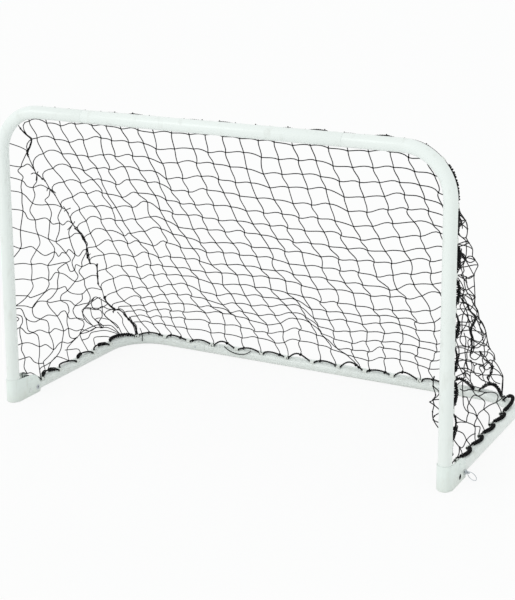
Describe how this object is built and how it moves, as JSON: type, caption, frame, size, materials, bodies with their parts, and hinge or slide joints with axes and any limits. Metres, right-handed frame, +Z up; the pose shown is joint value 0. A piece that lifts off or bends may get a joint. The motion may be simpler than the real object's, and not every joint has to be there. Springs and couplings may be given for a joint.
{
  "type": "folding soccer goal",
  "caption": "Folding steel tube goal: bent front arch, ground frame hinged in two plastic boots with ring pins, rope border and net.",
  "frame": {"origin": "on the ground, in the middle of the footprint's bounding box", "axes": "+Z up, the open front faces -Y, X runs along the crossbar with the right post at +X"},
  "size_m": [2.0278, 0.9326, 1.2374],
  "materials": {
    "white_coat": "semi-gloss powder coat",
    "boot_plastic": "satin moulded",
    "rivet_paint": "satin paint",
    "zinc": "zinc plated",
    "plug_plastic": "moulded",
    "clip_plastic": "satin moulded",
    "border_rope": "braided cord",
    "net_twine": "twisted twine"
  },
  "bodies": {
    "front_frame": {"left_post": "white_coat", "right_post": "white_coat", "crossbar": "white_coat", "left_boot": "boot_plastic", "right_boot": "boot_plastic", "left_pivot_rivet": "rivet_paint", "right_pivot_rivet": "rivet_paint", "left_pin_bush": "zinc", "right_pin_bush": "zinc", "left_boot_screw": "zinc", "right_boot_screw": "zinc", "arch_left_spring": "zinc", "arch_right_spring": "zinc", "arch_rope": "border_rope", "net_rear": "net_twine", "net_left_side": "net_twine", "net_right_side": "net_twine", "net_left_seam_cord": "net_twine", "net_right_seam_cord": "net_twine"},
    "base_frame": {"left_rail": "white_coat", "right_rail": "white_coat", "rear_bar": "white_coat", "left_rail_plug": "plug_plastic", "right_rail_plug": "plug_plastic", "rear_left_spring": "zinc", "rear_right_spring": "zinc", "base_rope": "border_rope", "left_rail_clip_1": "clip_plastic", "left_rail_clip_2": "clip_plastic", "left_rail_clip_3": "clip_plastic", "left_rail_clip_4": "clip_plastic", "left_rail_clip_5": "clip_plastic", "left_rail_clip_6": "clip_plastic", "right_rail_clip_1": "clip_plastic", "right_rail_clip_2": "clip_plastic", "right_rail_clip_3": "clip_plastic", "right_rail_clip_4": "clip_plastic", "right_rail_clip_5": "clip_plastic", "right_rail_clip_6": "clip_plastic", "rear_bar_clip_1": "clip_plastic", "rear_bar_clip_2": "clip_plastic", "rear_bar_clip_3": "clip_plastic", "rear_bar_clip_4": "clip_plastic", "rear_bar_clip_5": "clip_plastic", "rear_bar_clip_6": "clip_plastic", "rear_bar_clip_7": "clip_plastic", "rear_bar_clip_8": "clip_plastic", "rear_bar_clip_9": "clip_plastic", "rear_bar_clip_10": "clip_plastic", "rear_bar_clip_11": "clip_plastic", "rear_bar_clip_12": "clip_plastic", "rear_bar_clip_13": "clip_plastic"},
    "left_lock_pin": {"left_lock_pin": "zinc"},
    "left_pin_ring": {"left_pin_ring": "zinc"},
    "right_lock_pin": {"right_lock_pin": "zinc"},
    "right_pin_ring": {"right_pin_ring": "zinc"},
    "arch_left_button": {"arch_left_button": "zinc"},
    "arch_right_button": {"arch_right_button": "zinc"},
    "rear_left_button": {"rear_left_button": "zinc"},
    "rear_right_button": {"rear_right_button": "zinc"}
  },
  "joints": [
    {"name": "base_fold", "type": "hinge", "parent": "front_frame", "child": "base_frame", "pos_m": [0, -0.36165, 0.024], "axis": [1, 0, 0], "range_deg": [0, 90], "deforming": ["net_rear", "net_left_side", "net_right_side", "net_left_seam_cord", "net_right_seam_cord"]},
    {"name": "left_lock_pin_slide", "type": "slide", "parent": "front_frame", "child": "left_lock_pin", "axis": [-1, 0, 0], "range_m": [-0.0047, 0.012]},
    {"name": "left_ring_swing", "type": "hinge", "parent": "left_lock_pin", "child": "left_pin_ring", "pos_m": [-0.9822, -0.31365, 0.024], "axis": [0, 1, 0], "range_deg": [0, 125]},
    {"name": "right_lock_pin_slide", "type": "slide", "parent": "front_frame", "child": "right_lock_pin", "axis": [1, 0, 0], "range_m": [-0.0047, 0.012]},
    {"name": "right_ring_swing", "type": "hinge", "parent": "right_lock_pin", "child": "right_pin_ring", "pos_m": [0.9822, -0.31365, 0.024], "axis": [0, -1, 0], "range_deg": [0, 125]},
    {"name": "arch_left_button_press", "type": "slide", "parent": "front_frame", "child": "arch_left_button", "axis": [0, -1, 0], "range_m": [0, 0.0045], "stiffness_N_per_m": 1500, "springref_m": -0.002, "deforming": ["arch_left_spring"]},
    {"name": "arch_right_button_press", "type": "slide", "parent": "front_frame", "child": "arch_right_button", "axis": [0, -1, 0], "range_m": [0, 0.0045], "stiffness_N_per_m": 1500, "springref_m": -0.002, "deforming": ["arch_right_spring"]},
    {"name": "rear_left_button_press", "type": "slide", "parent": "base_frame", "child": "rear_left_button", "axis": [0, 1, 0], "range_m": [0, 0.0045], "stiffness_N_per_m": 1500, "springref_m": -0.002, "deforming": ["rear_left_spring"]},
    {"name": "rear_right_button_press", "type": "slide", "parent": "base_frame", "child": "rear_right_button", "axis": [0, 1, 0], "range_m": [0, 0.0045], "stiffness_N_per_m": 1500, "springref_m": -0.002, "deforming": ["rear_right_spring"]}
  ]
}
